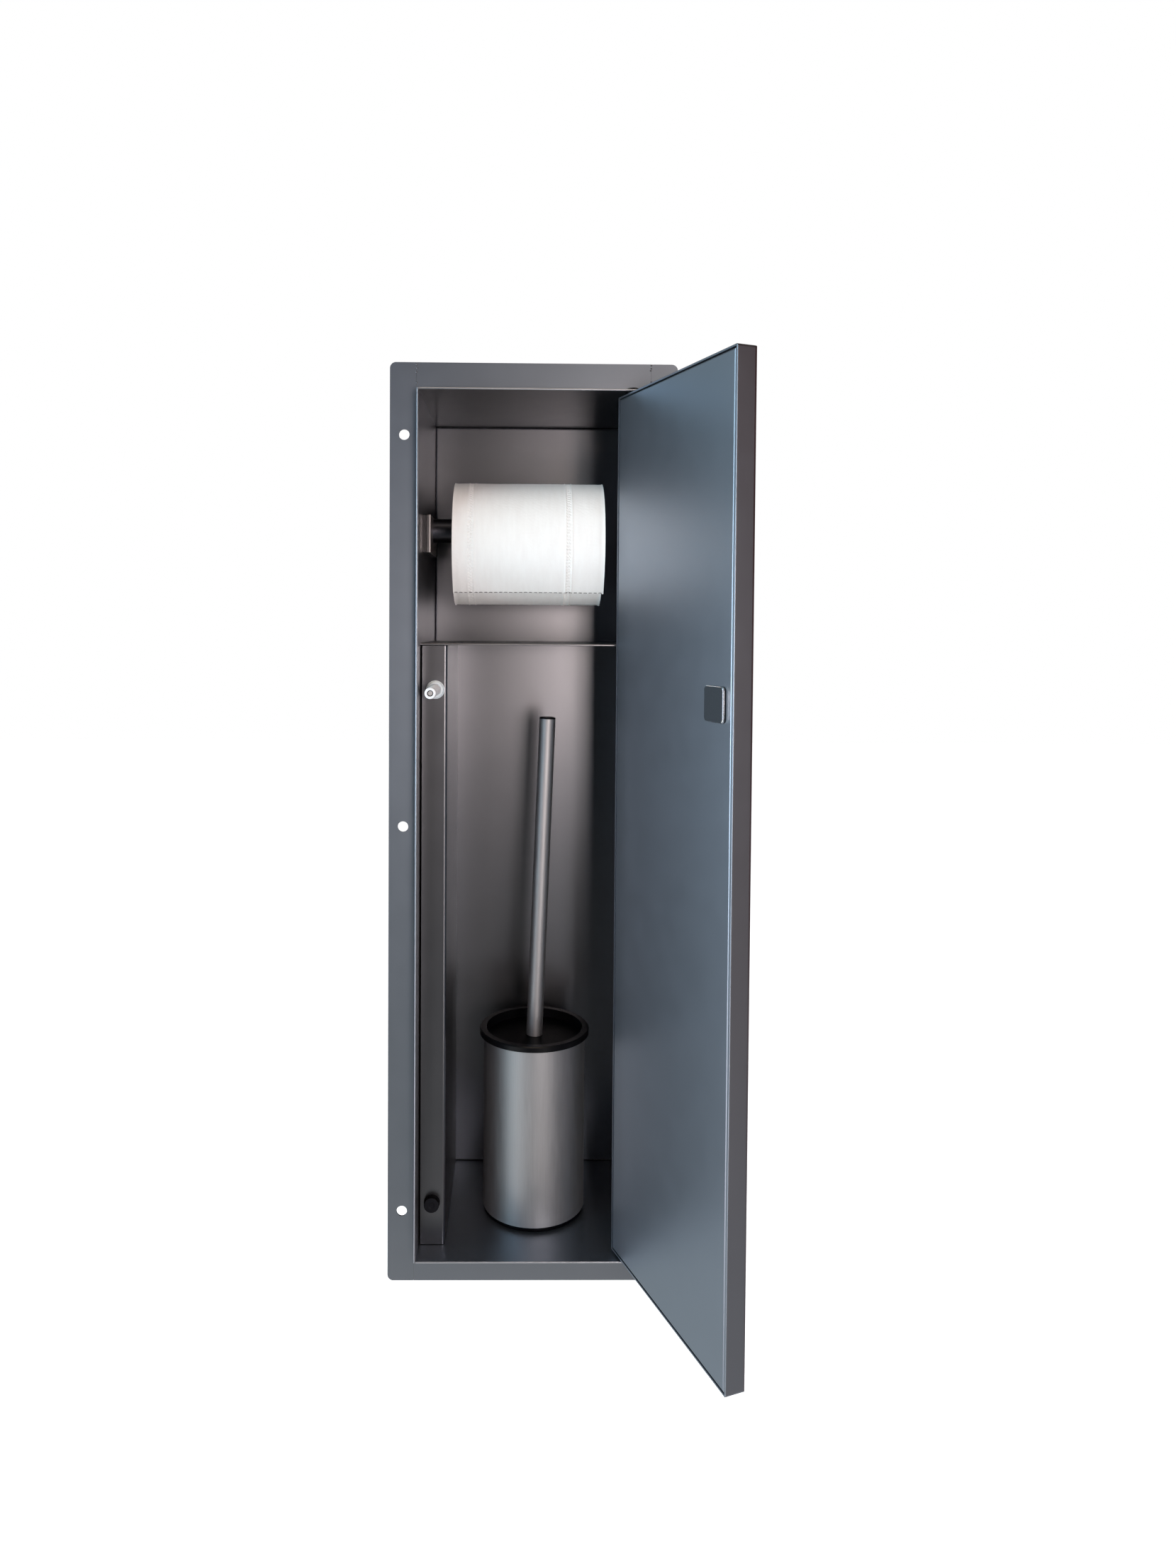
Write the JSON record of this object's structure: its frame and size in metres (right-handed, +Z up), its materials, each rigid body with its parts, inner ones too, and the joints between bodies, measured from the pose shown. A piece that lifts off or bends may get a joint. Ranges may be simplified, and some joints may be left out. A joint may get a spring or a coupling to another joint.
{
  "type": "recessed bathroom niche",
  "caption": "Recessed steel wall niche with a hinged door, push latch, shelf, paper roll holder with roll, and a brush set on its floor.",
  "frame": {"origin": "centre of the six screw holes, on the flange's back face, where the niche lies on the wall", "axes": "+X to the right seen from the front, +Y into the wall, +Z up; the door side faces -Y"},
  "size_m": [0.2134, 0.2616, 0.615],
  "materials": {
    "inside_steel": "satin",
    "outside_steel": "satin",
    "bright_steel": "satin",
    "hidden_steel": "satin",
    "dark_steel": "satin",
    "magnet": "satin",
    "black_plastic": "satin",
    "black_rubber": "matte",
    "white_plastic": "gloss",
    "bristles": "matte",
    "paper": "matte",
    "card": "matte"
  },
  "bodies": {
    "casing": {"left_wall": "inside_steel", "right_wall": "inside_steel", "top_wall": "inside_steel", "bottom_wall": "inside_steel", "back_panel": "inside_steel", "left_flange": "outside_steel", "right_flange": "outside_steel", "top_flange": "outside_steel", "bottom_flange": "outside_steel", "shelf": "inside_steel", "latch_cover_strip": "inside_steel", "latch_housing": "black_plastic", "latch_collar": "white_plastic", "door_bumper": "black_rubber", "roll_wall_plate": "bright_steel", "roll_arm_plate": "bright_steel", "roll_holder_screws": "bright_steel", "roll_rod": "bright_steel", "roll_rod_cap": "bright_steel", "upper_pivot_bush": "black_plastic", "lower_pivot_bush": "black_plastic", "brush_sleeve": "bright_steel", "brush_pot": "black_plastic", "brush_base": "black_plastic"},
    "door": {"door_shell": "outside_steel", "door_inner_panel": "outside_steel", "strike_plate": "dark_steel", "upper_pivot_pin": "bright_steel", "lower_pivot_pin": "bright_steel", "upper_pivot_block": "hidden_steel", "lower_pivot_block": "hidden_steel"},
    "plunger": {"latch_plunger": "white_plastic", "latch_magnet": "magnet"},
    "roll": {"paper_roll": "paper", "roll_core": "card"},
    "brush": {"brush_handle": "bright_steel", "brush_handle_cap": "black_plastic", "brush_lid": "black_plastic", "brush_stem": "black_plastic", "brush_head": "bristles"}
  },
  "joints": [
    {"name": "door_hinge", "type": "hinge", "parent": "casing", "child": "door", "pos_m": [0.065, -0.0072, 0], "axis": [0, 0, 1], "range_deg": [-111.1, 7.5]},
    {"name": "latch_slide", "type": "slide", "parent": "casing", "child": "plunger", "axis": [0, 1, 0], "range_m": [-0.0025, 0.0356]},
    {"name": "roll_spin", "type": "hinge", "parent": "casing", "child": "roll", "pos_m": [0, 0.0473, 0.19145], "axis": [1, 0, 0], "continuous": true},
    {"name": "brush_lift", "type": "slide", "parent": "casing", "child": "brush", "axis": [0, 0, 1], "range_m": [0, 0.045]}
  ],
  "couplings": [
    {"joint": "latch_slide", "follows": "door_hinge", "m_per_rad": -0.018308}
  ]
}
